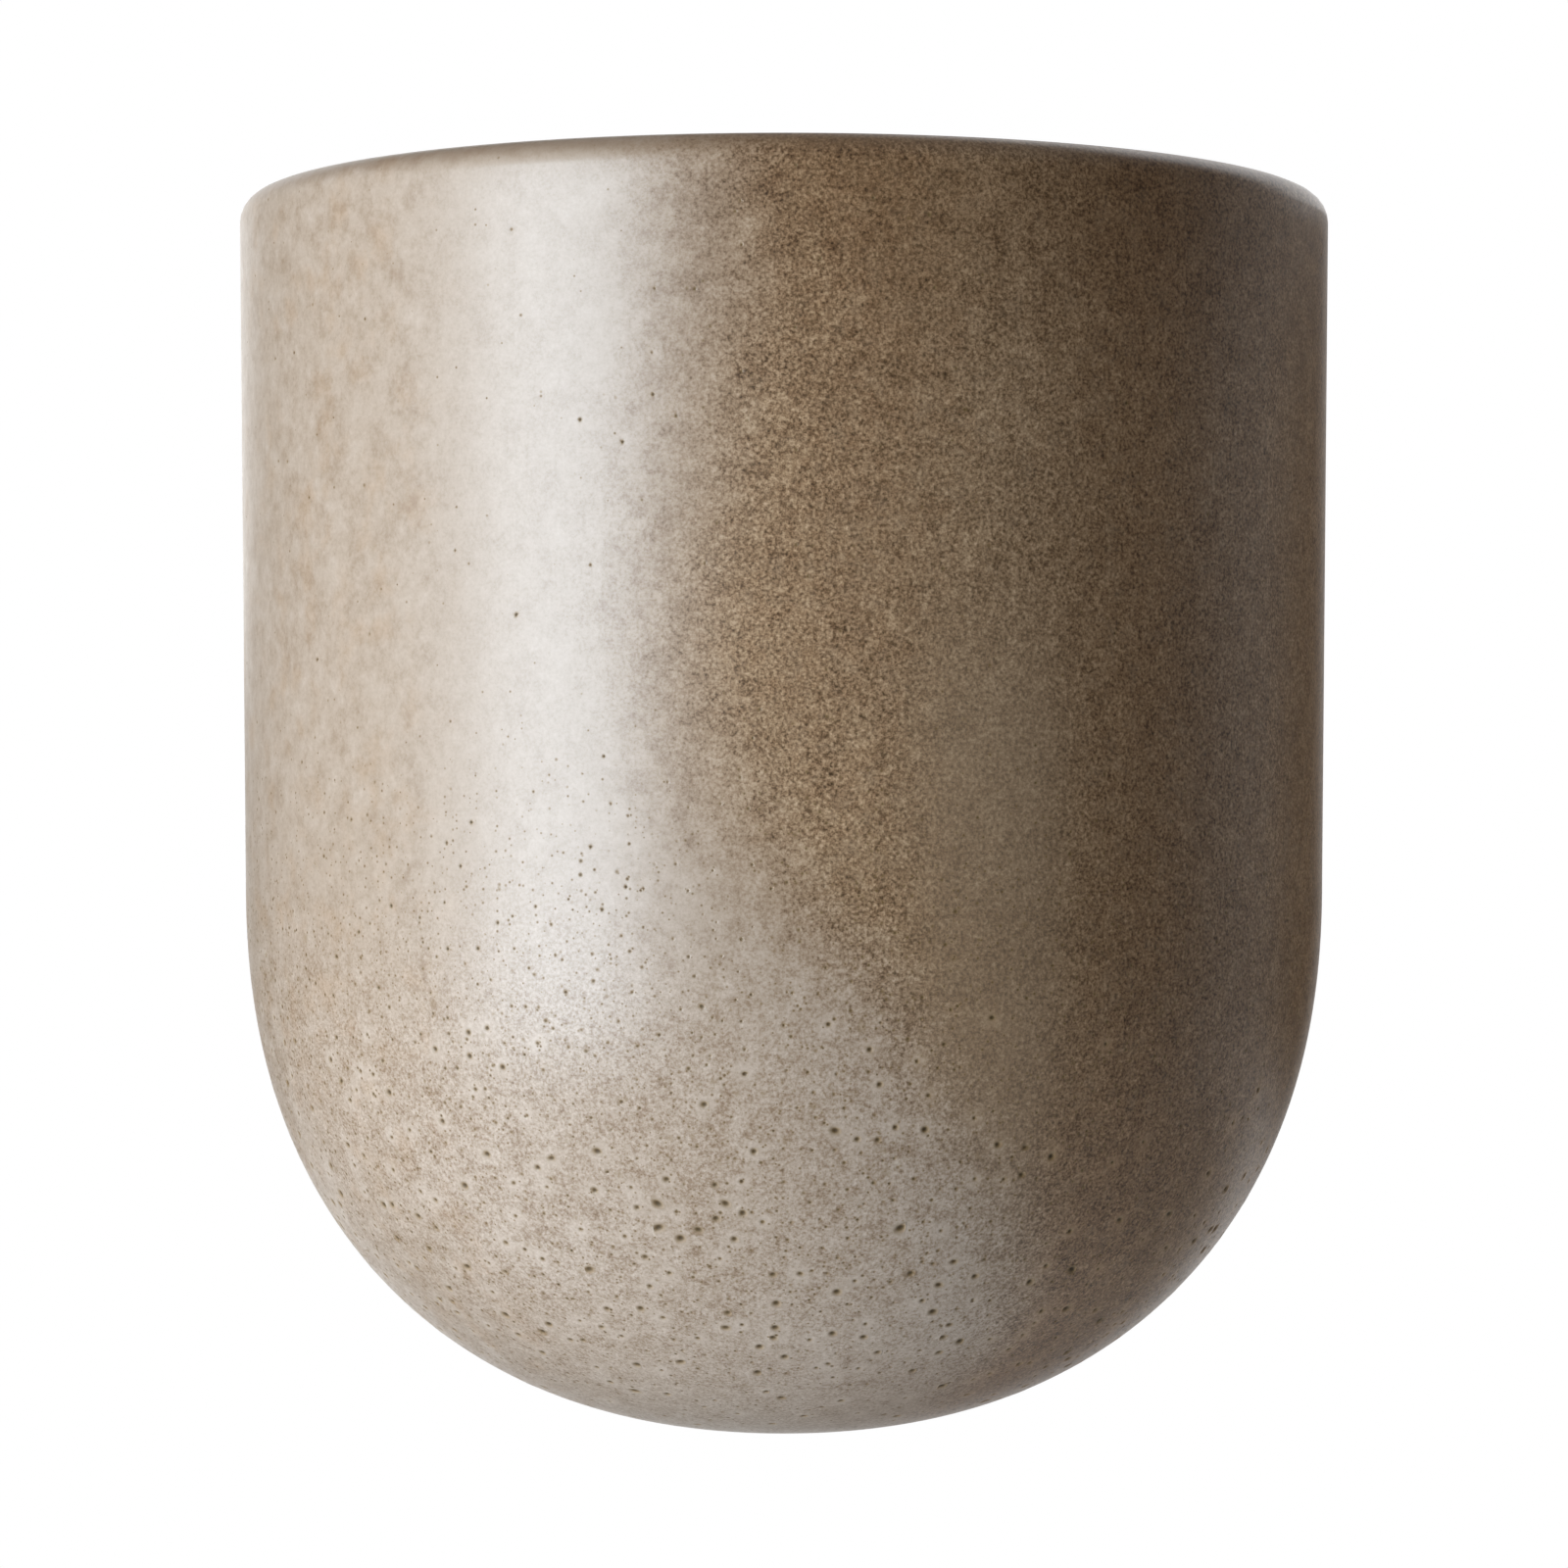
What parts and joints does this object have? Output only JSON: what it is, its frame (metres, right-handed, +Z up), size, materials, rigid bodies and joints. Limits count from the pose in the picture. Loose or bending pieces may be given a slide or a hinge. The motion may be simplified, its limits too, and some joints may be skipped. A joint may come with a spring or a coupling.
{
  "type": "wall planter",
  "caption": "Glazed stoneware wall planter with a round front, round bottom and flat back, hung by a keyhole on a screw in a wall plug, with clear bumpers behind.",
  "frame": {"origin": "the point on the wall's surface that the screw's axis goes through; the wall is the plane y = 0", "axes": "+Z up, +Y into the wall along the screw, +X to the right as seen from the room"},
  "size_m": [0.1514, 0.1515, 0.171],
  "materials": {
    "glaze": "semi-gloss speckled brown and greige glaze",
    "screw_steel": "bright zinc",
    "nylon": "moulded nylon",
    "clear_rubber": "clear soft rubber"
  },
  "bodies": {
    "wall_fixing": {"hanging_screw": "screw_steel", "wall_plug": "nylon"},
    "pot": {"bowl": "glaze", "bumper_upper_left": "clear_rubber", "bumper_upper_right": "clear_rubber", "bumper_lower_left": "clear_rubber", "bumper_lower_right": "clear_rubber"}
  },
  "joints": [
    {"name": "lift_off", "type": "slide", "parent": "wall_fixing", "child": "pot", "axis": [0, 0, 1], "range_m": [0, 0.01]}
  ]
}
